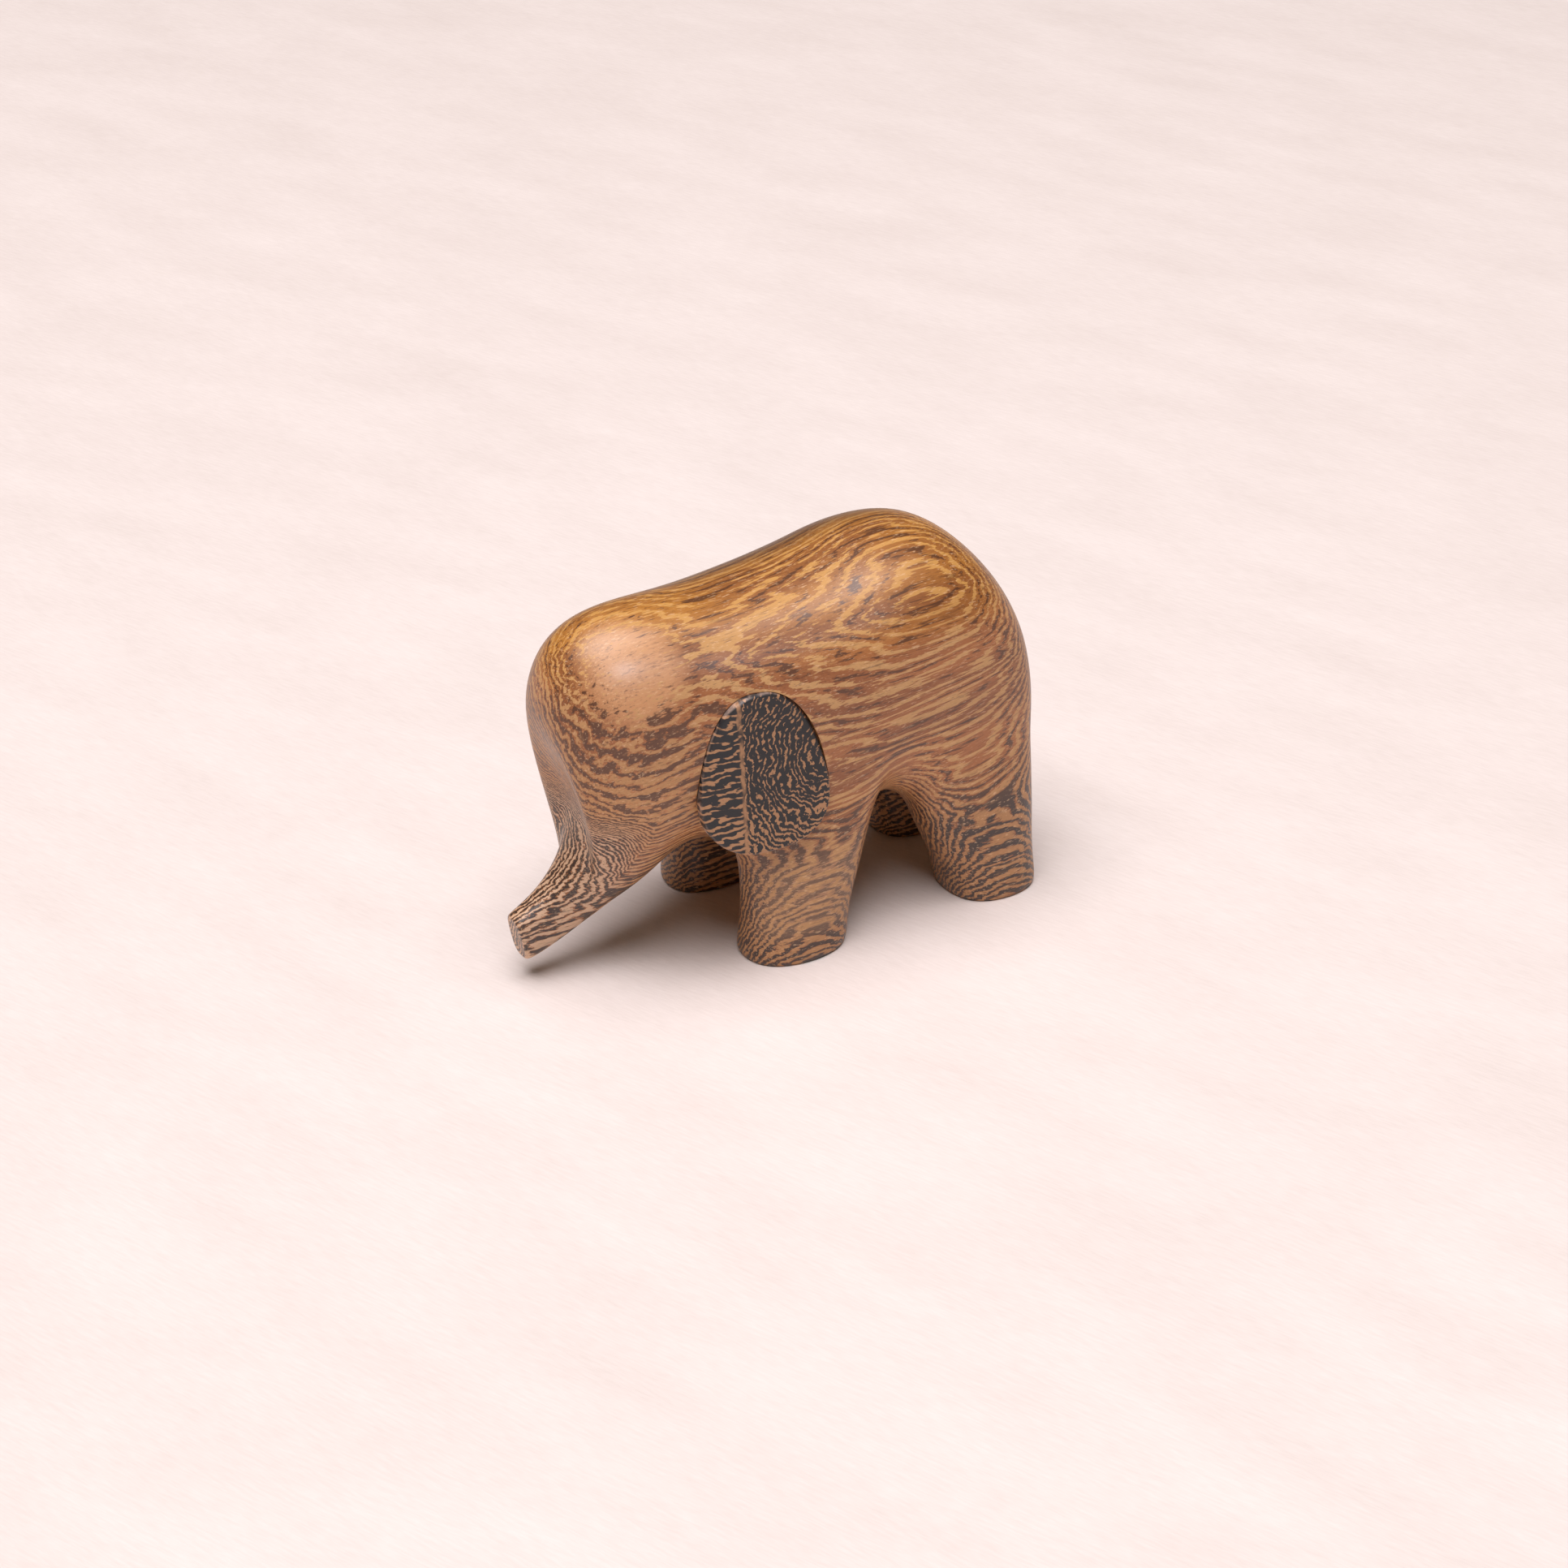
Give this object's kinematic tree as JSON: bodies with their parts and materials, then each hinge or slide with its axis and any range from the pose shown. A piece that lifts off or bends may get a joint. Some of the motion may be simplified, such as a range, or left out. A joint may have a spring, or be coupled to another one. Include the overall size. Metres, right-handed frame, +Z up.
{
  "type": "carved elephant figurine",
  "caption": "Small carved wooden elephant, standing with its head low and its trunk reaching down, with flat leaf-shaped ears of darker wood let into the sides of its head.",
  "frame": {"origin": "centre of the bounding box in plan, at the height of the soles", "axes": "+X from the head towards the rump, +Y from the elephant's left side to its right side, +Z up"},
  "size_m": [0.0935, 0.0406, 0.0658],
  "materials": {
    "block_wood": "satin, sanded and waxed, with fine pale and dark figure",
    "ear_wood": "satin, near-black with a brown network"
  },
  "bodies": {
    "root": {"body": "block_wood", "ear_left": "ear_wood", "ear_right": "ear_wood"}
  },
  "joints": []
}
